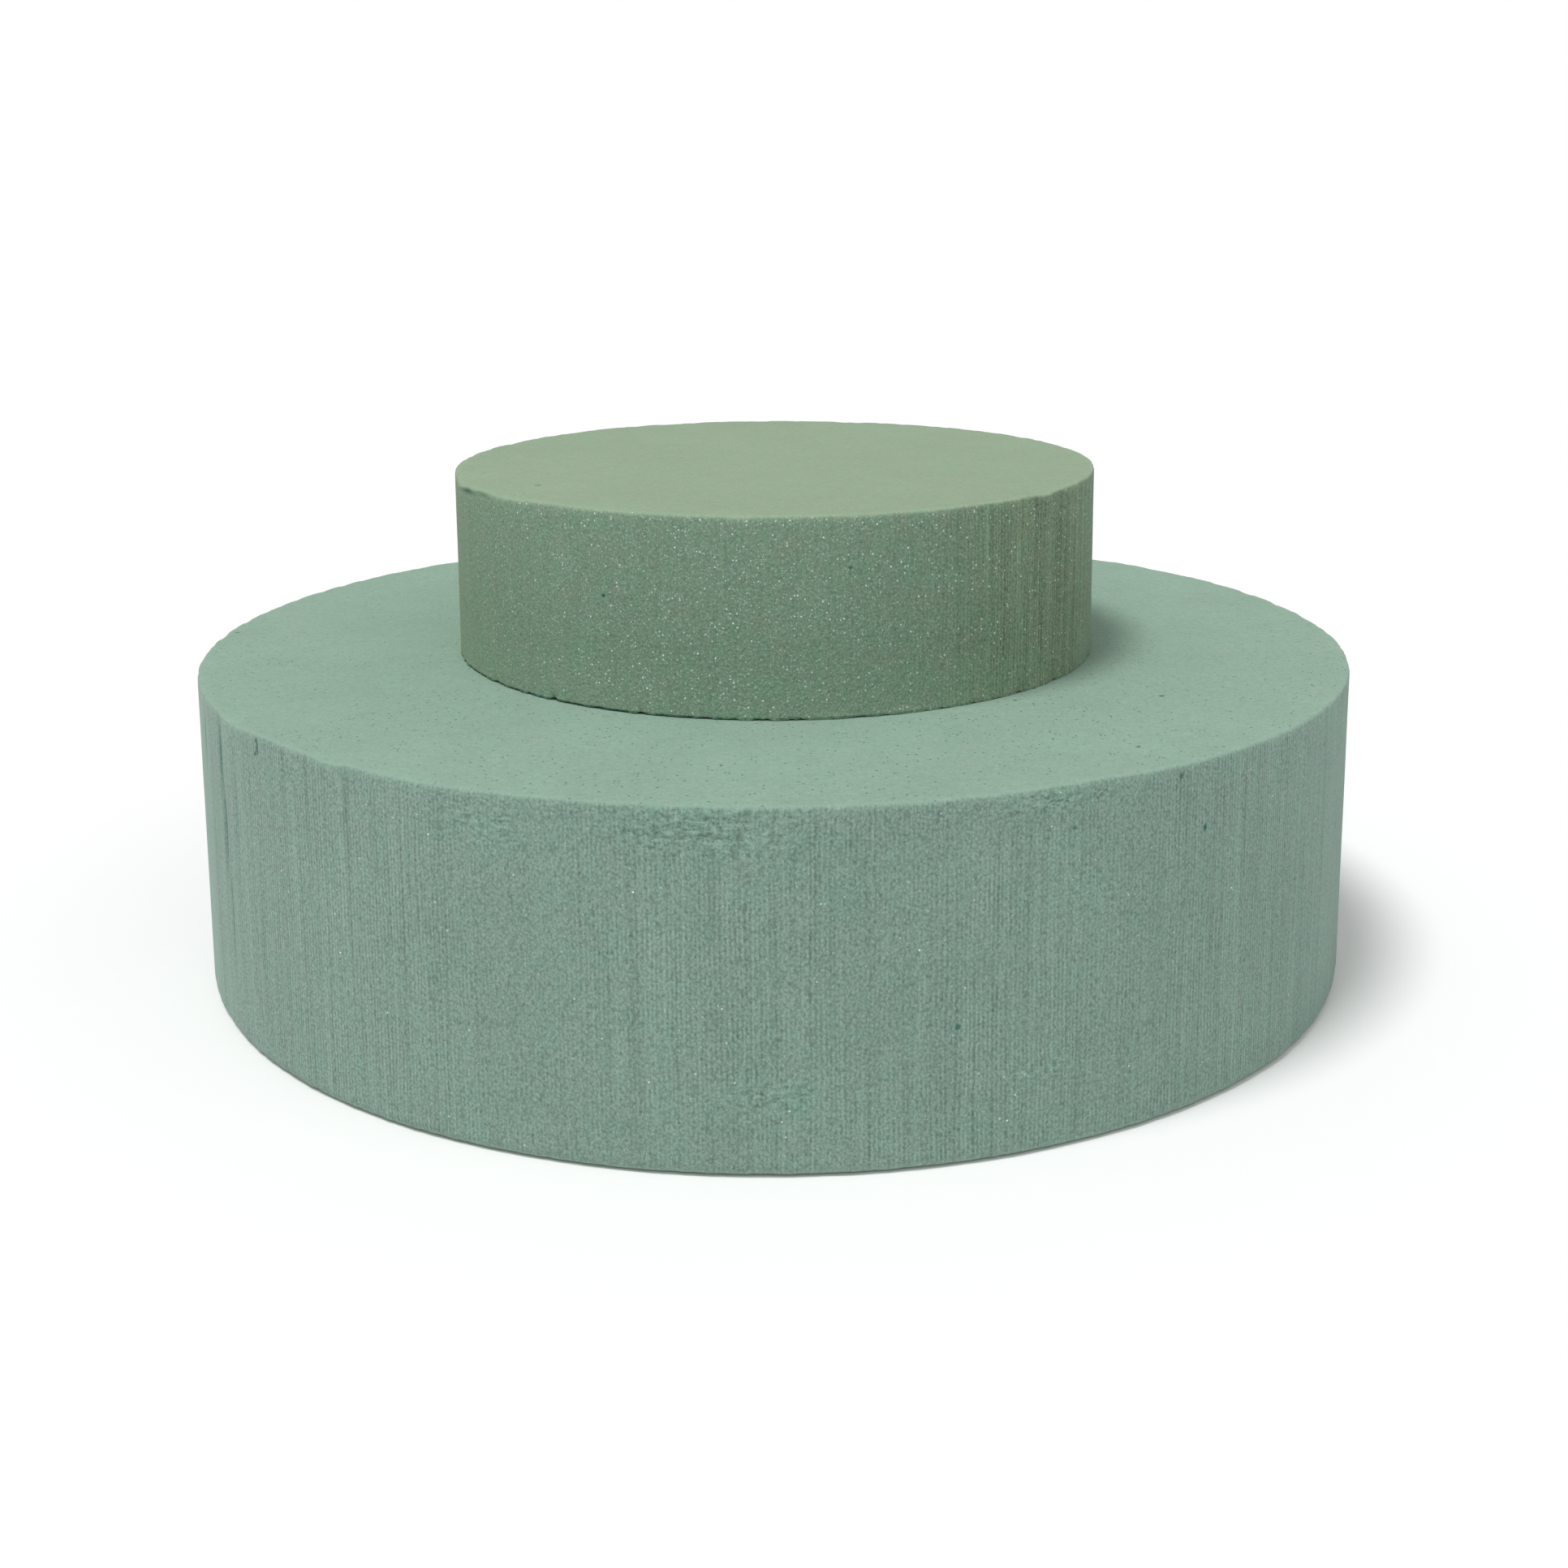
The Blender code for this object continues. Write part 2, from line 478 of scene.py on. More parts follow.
class DiscProfile:
    """The half section of a disc from the middle of its foot to the middle of its top.

    Straight runs and two quarter arcs, sampled closest near the foot edge, where the foam is
    frayed, and near the rim, where it is worn. For each sample it holds the radius r, the height
    z, the share of wall (1 on the wall, 0 on the flat faces, the squared sine or cosine round an
    arc), and how far the sample is along the path from the middle of each arc.
    """

    def __init__(self, node, rim_round, foot_round):
        foot_radius, top_radius, low, high = turned_outline(node)
        self.low, self.high, self.radius = low, high, top_radius
        arc = np.linspace(0.0, math.pi / 2, ARC_SAMPLES)
        foot_edge, top_edge = foot_radius - foot_round, top_radius - rim_round
        under = np.concatenate([
            foot_edge * np.array(UNDER_SHARES), foot_edge - np.array(UNDER_FROM_EDGE) * MM])
        foot_r = foot_edge + foot_round * np.sin(arc)
        foot_z = low + foot_round * (1.0 - np.cos(arc))
        rim_band = min(RIM_BAND * MM, (high - low) / 3)
        near_foot = low + foot_round + np.array(WALL_FROM_FOOT) * MM
        low_wall = np.linspace(near_foot[-1], high - rim_round - rim_band, LOW_WALL_SAMPLES)[1:]
        high_wall = np.linspace(
            high - rim_round - rim_band, high - rim_round, RIM_BAND_SAMPLES)[1:-1]
        wall_z = np.concatenate([near_foot, low_wall, high_wall])
        share_up = (wall_z - low - foot_round) / (high - low - rim_round - foot_round)
        wall_r = foot_radius + (top_radius - foot_radius) * share_up
        rim_r = top_edge + rim_round * np.cos(arc)
        rim_z = high - rim_round * (1.0 - np.sin(arc))
        inward = np.array(TOP_FROM_EDGE) * MM
        rest = np.linspace(top_edge - inward[-1], top_edge * MIDDLE_SHARE, TOP_SAMPLES)[1:]
        over = np.concatenate([top_edge - inward, rest])
        self.r = np.concatenate([under, foot_r, wall_r, rim_r, over])
        self.z = np.concatenate([
            np.full(under.size, low), foot_z, wall_z, rim_z, np.full(over.size, high)])
        self.wall = np.concatenate([
            np.zeros(under.size), np.sin(arc) ** 2, np.ones(wall_z.size),
            np.cos(arc) ** 2, np.zeros(over.size)])
        self.top = (self.z > (low + high) / 2.0) * (1.0 - self.wall)
        step = np.hypot(np.diff(self.r), np.diff(self.z))
        along = np.concatenate([[0.0], np.cumsum(step)])
        rim_middle = under.size + foot_r.size + wall_z.size + arc.size // 2
        foot_middle = under.size + arc.size // 2
        self.from_rim = along - along[rim_middle]
        self.from_foot = along - along[foot_middle]


def closed_disc_mesh(name, x, y, z, masks):
    """A mesh from rows of points: quads between rows, and a fan to a middle point at each end."""
    rows, around = x.shape
    ends = [[ring_x.mean(), ring_y.mean(), ring_z.mean()]
            for ring_x, ring_y, ring_z in ((x[0], y[0], z[0]), (x[-1], y[-1], z[-1]))]
    points = np.concatenate([np.stack([x, y, z], axis=-1).reshape(-1, 3), ends])
    here = np.arange(rows * around).reshape(rows, around)
    beside = np.roll(here, -1, axis=1)
    quads = np.stack([here[:-1], beside[:-1], beside[1:], here[1:]], axis=-1).reshape(-1, 4)
    foot_fan = np.stack([beside[0], here[0], np.full(around, rows * around)], axis=-1)
    top_fan = np.stack([here[-1], beside[-1], np.full(around, rows * around + 1)], axis=-1)
    fans = np.concatenate([foot_fan, top_fan])
    corners = np.concatenate([quads.ravel(), fans.ravel()]).astype(np.int32)
    sides = np.concatenate([np.full(len(quads), 4), np.full(len(fans), 3)])
    starts = np.concatenate([[0], np.cumsum(sides)[:-1]]).astype(np.int32)
    mesh = bpy.data.meshes.new(name)
    mesh.vertices.add(len(points))
    mesh.vertices.foreach_set("co", points.astype(np.float32).ravel())
    mesh.loops.add(len(corners))
    mesh.loops.foreach_set("vertex_index", corners)
    mesh.polygons.add(len(sides))
    mesh.polygons.foreach_set("loop_start", starts)
    mesh.update(calc_edges=True)
    mesh.shade_smooth()
    for mask, values in masks.items():
        ends = [values[0].mean(), values[-1].mean()]
        filled = np.concatenate([values.ravel(), ends]).astype(np.float32)
        mesh.attributes.new(mask, "FLOAT", "POINT").data.foreach_set("value", filled)
    mesh.validate()
    return mesh


def sawn_field(turn, on_wall, wear, radius, seed):
    """How clearly saw marks show: slow noise about a base, plus ridges, kept between 0 and 1."""
    base = wear["sawn_base"] * (1.0 + smooth_noise(on_wall, SAWN_WAVES, seed + 20))
    return np.clip(base + ridges(turn, wear["sawn"], radius), 0.0, 1.0)


def wall_shift(profile, on_wall, sawn, flakes, cut_in, sizes, seed):
    """How far the wall moves out along its radius.

    The sum of a drift from a true circle, a slow swell, saw marks whose waves are nearly upright
    and that are deeper where the foam is sawn, and the flakes of torn foam, less the grooves.
    """
    drift = rough_noise(on_wall, DRIFT_WAVES, seed, 2) * sizes.out_of_round
    swell = rough_noise(on_wall, SWELL_WAVES, seed + 10, 2) * SWELL_HEIGHT * MM
    saw = rough_noise(on_wall, SAW_WAVES, seed + 30, 3)
    saw = saw * sizes.saw_depth * (FAINTEST_SAW + sawn)
    shift = drift + swell + saw + flakes * sizes.tear_depth - cut_in
    return profile.wall[:, None] * shift


def rim_loss(on_wall, sizes, seed):
    """How much of the rim is nibbled away: fine noise above its floor, and rare bites.

    A bite is what slow noise has above a threshold, times a depth.
    """
    nibble = rough_noise(on_wall, NIBBLE_WAVES, seed + 60, 4)
    bite = smooth_noise(on_wall, BITE_WAVES, seed + 70)
    loss = (np.maximum(nibble, -NIBBLE_FLOOR) + NIBBLE_FLOOR) * sizes.rim_wear
    return loss + np.maximum(bite - BITE_FROM, 0.0) * BITE_DEPTH * sizes.rim_wear


def foot_loss(turn, on_wall, wear, radius, seed):
    """How far the foot edge is frayed upwards, or hangs down where this is less than nothing.

    Fine noise times its height, less a hang, plus a ridge where the joint stands open, all times
    how frayed the disc is, plus the chips.
    """
    frayed = rough_noise(on_wall, FRAY_WAVES, seed + 90, 2)
    opened = ridge_at(turn, *OPEN_JOINT, radius)
    loss = (FRAY_HEIGHT * frayed - FRAY_HANG + FRAY_OPEN * opened) * wear["frayed"] * MM
    return loss + ridges(turn, wear["foot_chips"], radius) * MM


def foam_disc(name, profile, sizes, wear, seed):
    """A worn foam disc as a closed mesh, with the masks that its material reads.

    Every sample of the profile stands at every turn, and is moved in three ways. The wall goes in
    or out by wall_shift. The rim goes in and down by rim_loss, and the top round it sinks by the
    rim dips. The foot edge goes in and up by foot_loss, but never lower than the overhang under
    the foot. Each fades with the distance along the profile. The top face is also dished a little.
    """
    turn = np.linspace(0.0, TURN, sizes.around, endpoint=False)[None, :]
    radius = np.repeat(profile.r[:, None], sizes.around, axis=1)
    height = np.repeat(profile.z[:, None], sizes.around, axis=1)
    shape = radius.shape
    wall, top = profile.wall[:, None], profile.top[:, None]
    from_rim, from_foot = profile.from_rim[:, None], profile.from_foot[:, None]
    rim_near = fading(from_rim, RIM_REACH * MM)
    foot_near = fading(from_foot, FOOT_REACH * MM)
    dip_near = fading(from_rim, np.where(from_rim > 0.0, DIP_REACH_OVER, DIP_REACH_DOWN) * MM)
    above_foot = height - profile.low
    # the point on a true cylinder, so that upright marks stay upright on a wall that leans
    true_x = np.broadcast_to(profile.radius * np.cos(turn), shape)
    true_y = np.broadcast_to(profile.radius * np.sin(turn), shape)
    on_wall = np.stack([true_x, true_y, height], axis=-1)
    on_disc = np.stack([radius * np.cos(turn), radius * np.sin(turn), height], axis=-1)

    sawn = sawn_field(turn, on_wall, wear, profile.radius, seed)
    torn = strongest(turn, above_foot, wear["tears"], profile.radius, 4)
    torn = torn * (TEAR_SHARE + (1.0 - TEAR_SHARE) * smooth_noise(on_wall, TEAR_WAVES, seed + 40))
    flakes = rough_noise(on_wall, FLAKE_WAVES, seed + 50, 2)
    flakes = (1.0 - 2.0 * np.abs(flakes)) * torn
    cut_in = strongest(turn, above_foot, wear["grooves"], profile.radius, 4) * MM
    # how dark the painted shade in each groove is; the line above cuts the groove itself
    dark = strongest(turn, above_foot, wear["grooves"], profile.radius, 5)

    worn = rim_loss(on_wall, sizes, seed)
    broken = foot_loss(turn, on_wall, wear, profile.radius, seed)
    sink = ridges(turn, wear["rim_dips"], profile.radius) * MM
    dished = rough_noise(on_disc, DISH_WAVES, seed + 80, 2) * DISH_DEPTH * MM
    radius = radius + wall_shift(profile, on_wall, sawn, flakes, cut_in, sizes, seed)
    radius = radius - (rim_near * RIM_INWARD * worn + foot_near * FOOT_INWARD * broken)
    height = height - rim_near * worn - dip_near * sink + top * dished
    height = height + foot_near * broken
    height = np.maximum(height, profile.low - wear["overhang"] * MM)

    one = np.ones(shape)
    # painted shade in the joint under the disc, darkest towards the front left
    painted_joint_shade = wear["painted_joint_shade"] * (FAINTEST_JOINT_SHADE + ridge_at(turn, *DARKEST_JOINT_SHADE, profile.radius))
    masks = {
        "cut_face": (1.0 - wall) * one,
        "pale": np.clip(ridges(turn, wear["pale"], profile.radius), -1.0, 1.0) * wall,
        "sawn": sawn * wall,
        "torn": torn * wall,
        # the height of the flakes, which also paints light and shade on them
        "flake": flakes * wall,
        "painted_joint_shade": painted_joint_shade * one,
        "painted_glint_amount": (1.0 + ridges(turn, wear["painted_glint_amount"], profile.radius)) * one,
        "olive": ridges(turn, wear["olive"], profile.radius) * one,
        # painted shade in the grooves, fainter on flat faces
        "mark": dark * np.maximum(wall, FLAT_MARK),
        # where the rim's painted highlight shows, and how strongly
        "edge": rim_near * one,
    }
    off_x, off_y = (MM * part for part in wear["off_axis"])
    return closed_disc_mesh(
        name, radius * np.cos(turn) + off_x, radius * np.sin(turn) + off_y, height, masks)


# ---------------------------------------------------------------- materials


class NodeDesk:
    """Adds nodes to one material and links them; every method gives back an output socket."""

    def __init__(self, name):
        self.material = bpy.data.materials.new(name)
        self.material.use_nodes = True
        self.tree = self.material.node_tree
        self.shader = self.tree.nodes["Principled BSDF"]

    def put(self, socket, value):
        """Link a socket to a socket, or set its own value."""
        if isinstance(value, bpy.types.NodeSocket):
            self.tree.links.new(value, socket)
        else:
            socket.default_value = value

    def node(self, kind, **settings):
        """A new node with its settings; the one method that gives back the node itself."""
        made = self.tree.nodes.new(kind)
        for key, value in settings.items():
            setattr(made, key, value)
        return made

    def place(self):
        """Object coordinates, in metres."""
        return self.node("ShaderNodeTexCoord").outputs["Object"]

    def mask(self, name):
        """A number that the mesh holds at each point."""
        return self.node("ShaderNodeAttribute", attribute_name=name).outputs["Fac"]

    def maths(self, operation, first, second=0.0, third=0.0):
        """Two or three numbers taken together by one operation."""
        made = self.node("ShaderNodeMath", operation=operation)
        for socket, value in zip(made.inputs, (first, second, third)):
            self.put(socket, value)
        return made.outputs[0]

    def add(self, first, *others):
        """The sum of two or more numbers, from the first to the last."""
        total = first
        for number in others:
            total = self.maths("ADD", total, number)
        return total

    def times(self, first, *others):
        """The product of two or more numbers, from the first to the last."""
        total = first
        for number in others:
            total = self.maths("MULTIPLY", total, number)
        return total

    def line(self, value, slope, start):
        """value times slope, plus start."""
        return self.maths("MULTIPLY_ADD", value, slope, start)

    def most(self, first, *others):
        """The largest of two or more numbers."""
        largest = first
        for number in others:
            largest = self.maths("MAXIMUM", largest, number)
        return largest

    def ramp(self, value, low, high, start=0.0, end=1.0):
        """value eased from start at low to end at high."""
        made = self.node("ShaderNodeMapRange", interpolation_type="SMOOTHSTEP")
        for socket, number in zip(made.inputs, (value, low, high, start, end)):
            self.put(socket, number)
        return made.outputs[0]

    def scaled(self, vector, scale):
        """A vector times a scale along each axis."""
        made = self.node("ShaderNodeVectorMath", operation="MULTIPLY")
        self.put(made.inputs[0], vector)
        self.put(made.inputs[1], scale)
        return made.outputs[0]

    def vector_sum(self, first, second):
        """Two vectors added."""
        made = self.node("ShaderNodeVectorMath", operation="ADD")
        self.put(made.inputs[0], first)
        self.put(made.inputs[1], second)
        return made.outputs[0]

    def vector_from(self, **parts):
        """A vector from numbers for X, Y and Z, with nothing along an axis that is left out."""
        made = self.node("ShaderNodeCombineXYZ")
        for axis, number in parts.items():
            self.put(made.inputs[axis], number)
        return made.outputs[0]

    def noise(self, vector, pitch, detail=2.0, roughness=0.5):
        """Noise about nought, whose waves are as long as pitch."""
        made = self.node("ShaderNodeTexNoise")
        self.put(made.inputs["Vector"], vector)
        made.inputs["Scale"].default_value = 1.0 / pitch
        made.inputs["Detail"].default_value = detail
        made.inputs["Roughness"].default_value = roughness
        return self.line(made.outputs["Fac"], 2.0, -1.0)

    def cells(self, vector, pitch):
        """Random cells: how far from the middle of its cell a point is, and the cell's colour."""
        made = self.node("ShaderNodeTexVoronoi")
        self.put(made.inputs["Vector"], vector)
        made.inputs["Scale"].default_value = 1.0 / pitch
        parts = self.node("ShaderNodeSeparateColor")
        self.put(parts.inputs[0], made.outputs["Color"])
        return made.outputs["Distance"], parts.outputs

    def dots(self, vector, pitch, size, share):
        """Scattered dots of up to size cells across, on that share of the cells."""
        distance, chance = self.cells(vector, pitch)
        dot = self.ramp(distance, size, size * DOT_CORE)
        chosen = self.maths("LESS_THAN", chance[0], share)
        return self.times(dot, chosen), chance

    def spots(self, vector, places):
        """Pits: each is 1 a little inside its radius and eases to 0 at half as far again.

        Each place is a middle point, a radius and how dark the painted shade in the pit is.
        """
        total = 0.0
        for middle, size, dark in places:
            away = self.node("ShaderNodeVectorMath", operation="DISTANCE")
            self.put(away.inputs[0], vector)
            away.inputs[1].default_value = middle
            pit = self.ramp(away.outputs["Value"], size * PIT_RIM, size * PIT_CORE, 0.0, dark)
            total = self.most(total, pit)
        return total

    def mix(self, share, first, second, blend="MIX"):
        """Two colours blended; each is a socket or three numbers."""
        made = self.node("ShaderNodeMix", data_type="RGBA", blend_type=blend)
        self.put(made.inputs[0], share)
        for socket, value in ((made.inputs[6], first), (made.inputs[7], second)):
            if not isinstance(value, bpy.types.NodeSocket):
                value = (*value, 1.0)
            self.put(socket, value)
        return made.outputs[2]

    def tinted(self, colour, tint, share=1.0):
        """A colour multiplied by a tint, as far as share."""
        return self.mix(share, colour, tint, "MULTIPLY")

    def brighter(self, colour, factor):
        """A colour times a number."""
        made = self.node("ShaderNodeVectorMath", operation="SCALE")
        self.put(made.inputs[0], colour)
        self.put(made.inputs["Scale"], factor)
        return made.outputs[0]


class FoamDesk(NodeDesk):
    """The nodes of one open-celled foam: sawn and grainy on its wall, smoother on its cut faces.

    Ribs are the sine of a whole number of waves round the disc, so that they close on
    themselves, pushed about by slow noise. Beads are the middles of random cells, brighter than
    their borders. Grain, clumps, streaks and ripples are noise of other lengths, squeezed or
    drawn out up the wall. Dots on random cells give the painted glints and the pin holes, whose
    dark is painted shade.
    """

    def __init__(self, name, profile, colours, sizes, looks):
        super().__init__(name)
        self.radius, self.low, self.high = profile.radius, profile.low, profile.high
        self.colours, self.sizes, self.looks = colours, sizes, looks
        self.here = self.place()
        self.cut, self.sawn = self.mask("cut_face"), self.mask("sawn")
        self.torn, self.pale = self.mask("torn"), self.mask("pale")
        self.wall = self.maths("SUBTRACT", 1.0, self.cut)
        self.whole = self.maths("SUBTRACT", 1.0, self.torn)
        # pale foam is also smoother
        self.rough = self.line(self.pale, -0.5, 1.0)
        self.find_wall()
        self.find_grains()
        self.find_ribs()

    def find_wall(self):
        """The point brought to a true cylinder, so that patterns run straight up a leaning wall."""
        axes = self.node("ShaderNodeSeparateXYZ")
        self.put(axes.inputs[0], self.here)
        self.across, self.away, self.up = axes.outputs
        outward = self.node("ShaderNodeVectorMath", operation="NORMALIZE")
        self.put(outward.inputs[0], self.vector_from(X=self.across, Y=self.away))
        ring = self.scaled(outward.outputs[0], (self.radius,) * 3)
        self.on_wall = self.vector_sum(ring, self.vector_from(Z=self.up))

    def wall_noise(self, squeeze, pitch, detail, roughness=0.5):
        """Noise on the wall, squeezed that many times up it, or drawn out when under 1."""
        return self.noise(self.scaled(self.on_wall, (1.0, 1.0, squeeze)), pitch, detail, roughness)

    def find_grains(self):
        """The patterns that the colour and the relief share."""
        cell = self.sizes.cell
        bead_place = self.scaled(self.on_wall, (1.0, 1.0, 0.8))
        from_middle, _ = self.cells(bead_place, cell * self.looks["bead_size"])
        self.bead = self.maths("SUBTRACT", 0.48, from_middle)
        self.grain = self.wall_noise(0.75, cell * 0.8, 2.0, 0.75)
        self.clumps = self.wall_noise(0.6, cell * 2.4, 2.0, 0.6)
        self.ripple = self.wall_noise(2.1, 1.5 * MM, 3.0, 0.65)
        fine = self.noise(self.here, cell * 1.2, 2.0, 0.7)
        coarse = self.noise(self.here, 1.5 * MM, 2.0, 0.6)
        self.flat_grain = self.add(fine, self.times(coarse, self.looks["flat_clumps"]))

    def find_ribs(self):
        """Upright saw ribs, clearer in some places than in others, and gone where foam is torn."""
        angle = self.maths("ARCTAN2", self.away, self.across)
        rib_count = round(TURN * self.radius / self.sizes.rib_pitch)
        wander = self.wall_noise(0.15, 5 * MM, 2.0)
        rib = self.maths("SINE", self.line(angle, float(rib_count), self.times(wander, 5.0)))
        shown = self.ramp(self.noise(self.on_wall, 11 * MM, 1.0), -0.35, 0.35)
        rib = self.times(rib, self.sawn, self.line(shown, 0.7, 0.3))
        self.rib = self.times(rib, self.whole, self.line(self.clumps, 0.9, 0.9))

    def tone(self):
        """How bright the foam is here, about 1: the patterns times their shares, summed; painted
        light and shade on torn foam and painted bounce light at a wall's foot among them.
        """
        looks = self.looks
        fine = self.add(
            self.times(self.grain, looks["grain"]), self.times(self.bead, looks["beads"]),
            self.times(self.clumps, looks["clumps"]), self.times(self.rib, looks["ribs"]))
        streak = self.wall_noise(0.015, 1.3 * MM, 3.0, 0.7)
        streak_depth = self.ramp(
            self.sawn, 0.25, 1.0, looks["streaks"] * 0.2, looks["streaks"] * 1.2)
        scored = self.ramp(self.wall_noise(0.03, 0.8 * MM, 1.0), -0.38, -0.62)
        scored = self.times(scored, self.ramp(self.sawn, 0.55, 0.95))
        # painted bounce light from the disc below: lighter towards the wall's foot
        near_foot = self.ramp(self.up, self.low + BOUNCE_LIGHT_RISE * MM, self.low)
        on_wall = self.add(
            self.times(fine, self.rough),
            self.times(streak, self.times(streak_depth, self.whole)),
            self.times(scored, -looks["scored"]),
            self.times(self.pale, looks["pale"]),
            self.times(near_foot, looks["painted_bounce_light"]),
            # painted light and shade on torn foam: lighter on the crests of its ripples and flakes,
            # darker between them
            self.times(self.ripple, self.torn, 1.5),
            self.times(self.mask("flake"), 0.15))
        on_cut = self.times(self.flat_grain, looks["cut_grain"], self.cut)
        slow = self.times(self.noise(self.here, 34 * MM, 2.0), looks["slow"])
        patches = self.times(self.noise(self.here, 9 * MM, 2.0), looks["patches"])
        both = self.add(self.times(on_wall, self.wall), on_cut)
        return self.most(self.add(both, self.add(slow, patches, 1.0)), DARKEST_TONE)

    def foam_colour(self, cut_colour, wall_colour):
        """The foam itself, drifting between its greener and its browner side.

        Torn foam is greener, and its crests get a painted highlight as pale as a cut face. So does
        the rim.
        """
        base = self.mix(self.cut, wall_colour, cut_colour)
        speckle = self.add(
            self.times(self.grain, self.wall), self.times(self.flat_grain, self.cut))
        hue = self.add(
            self.noise(self.here, 6 * MM, 3.0, 0.6), self.times(speckle, self.looks["hue_grain"]))
        hue = self.add(self.ramp(hue, -0.6, 0.6), -0.5)
        hue = self.times(hue, self.line(self.cut, -0.5, 1.0))
        hue = self.line(hue, self.looks["hue"], 0.5)
        hue = self.add(hue, self.times(self.pale, -0.10))
        base = self.mix(hue, self.tinted(base, GREENER), self.tinted(base, BROWNER))
        base = self.tinted(base, OLIVE, self.times(self.mask("olive"), self.wall))
        base = self.tinted(base, TORN_GREEN, self.torn)
        base = self.brighter(base, self.tone())
        # painted highlight on the crests of torn foam
        crest = self.times(self.ramp(self.ripple, 0.02, 0.22), self.torn)
        base = self.mix(
            self.times(crest, 0.85), base, tuple(CREST_LIGHT * c for c in cut_colour))
        # painted highlight along the rim
        rim = self.times(self.mask("edge"), self.looks["edge_light"])
        return self.mix(rim, base, tuple(min(1.0, RIM_LIGHT * c) for c in cut_colour))

    def paint_glints(self):
        """Painted glints: white specks in the colour that stand in for light caught by cell walls,
        how strongly each shows, and its colour.

        Large dots and a finer glitter of unequal brightness, fewer and duller where the mesh's
        mask for painted glints is low.
        """
        painted_glint_amount = self.mask("painted_glint_amount")
        thick = self.ramp(self.noise(self.here, 7 * MM, 2.0), -0.5, 0.6, 0.75, 1.0)
        dull = self.line(self.maths("ABSOLUTE", self.pale), -0.6, 1.0)
        big, chance = self.dots(self.here, BIG_PAINTED_GLINT * MM, 0.34, self.looks["painted_glints"])
        big = self.times(big, self.line(self.maths("POWER", chance[2], 1.4), 1.0, 0.15))
        big = self.times(big, self.line(painted_glint_amount, 0.5, 0.5))
        small, fainter = self.dots(self.here, SMALL_PAINTED_GLINT * MM, 0.40, self.looks["painted_glitter"])
        small = self.times(small, self.line(fainter[2], 0.8, 0.2))
        small = self.times(small, 0.46, self.times(dull, painted_glint_amount))
        tint = self.mix(chance[1], COOL_PAINTED_GLINT, WARM_PAINTED_GLINT)
        colour = self.tinted(tint, tuple(self.colours.painted_glint))
        shown = self.times(self.add(self.times(big, 0.98), small), thick)
        return self.times(shown, self.line(self.wall, 0.97, 0.03)), colour

    def hollows(self, pits, top_pits):
        """How deep a hollow is here, for the bump, and how dark the painted shade in it is: pin
        holes, pits, grooves, tears and the foot line.

        The pin holes of the cut faces are clearer at the front. The foot line is painted shade
        where the wall's lowest part stands in the joint, broken up by the clumps.
        """
        front = self.add(self.noise(self.here, 40 * MM, 1.0), self.times(self.away, -4.0))
        front = self.ramp(front, -0.4, 0.4, 0.35, 1.0)
        # pin holes: dots of painted shade
        holes, chance = self.dots(self.here, PIN_HOLE * MM, 0.34, self.looks["pin_holes"])
        holes = self.times(holes, self.line(self.maths("POWER", chance[2], 2.0), 1.2, 0.15))
        holes = self.times(holes, self.line(self.cut, 0.85, 0.15), self.times(front, 0.9))
        bend = self.noise(self.here, 0.6 * MM, 1.0)
        bend = self.scaled(self.vector_from(X=bend, Y=bend, Z=bend), (PIT_BEND * MM,) * 3)
        side_pits = [(turned_point(turn, self.radius, self.low + height * MM), size * MM, dark)
                     for turn, height, size, dark in pits]
        face_pits = [(turned_point(turn, out * MM, self.high), size * MM, dark)
                     for turn, out, size, dark in top_pits]
        on_side = self.spots(self.vector_sum(self.on_wall, bend), side_pits)
        on_face = self.spots(self.vector_sum(self.here, bend), face_pits)
        # painted shade in the troughs of torn foam
        torn = self.times(self.torn, self.ramp(self.ripple, 0.0, -0.5, 0.0, 0.14))
        # painted shade of the joint along the wall's lowest part
        foot_line = self.ramp(
            self.up, self.low + FOOT_LINE_TOP * MM, self.low + FOOT_LINE_FULL * MM)
        foot_line = self.times(foot_line, self.line(self.clumps, 1.6, 0.8))
        foot_line = self.times(foot_line, self.ramp(self.wall, 0.0, 0.1), self.mask("painted_joint_shade"))
        return self.most(holes, self.mask("mark"), on_face, on_side, torn, foot_line)

    def relief(self, depth):
        """The height that the bump follows: grain, ribs, beads and clumps, less the hollows."""
        fine = self.add(
            self.times(self.grain, 0.35), self.times(self.rib, 0.30),
            self.times(self.bead, 0.80), self.times(self.clumps, 0.30))
        on_wall = self.add(
            self.times(fine, self.rough), self.times(self.ripple, self.torn, 2.2))
        on_cut = self.times(self.flat_grain, 0.15, self.cut)
        return self.add(self.times(on_wall, self.wall), on_cut, self.times(depth, -1.2))


def turned_point(turn, out, height):
    """The point at a turn in degrees, a distance out from the axis and a height."""
    angle = math.radians(turn)
    return (out * math.cos(angle), out * math.sin(angle), height)


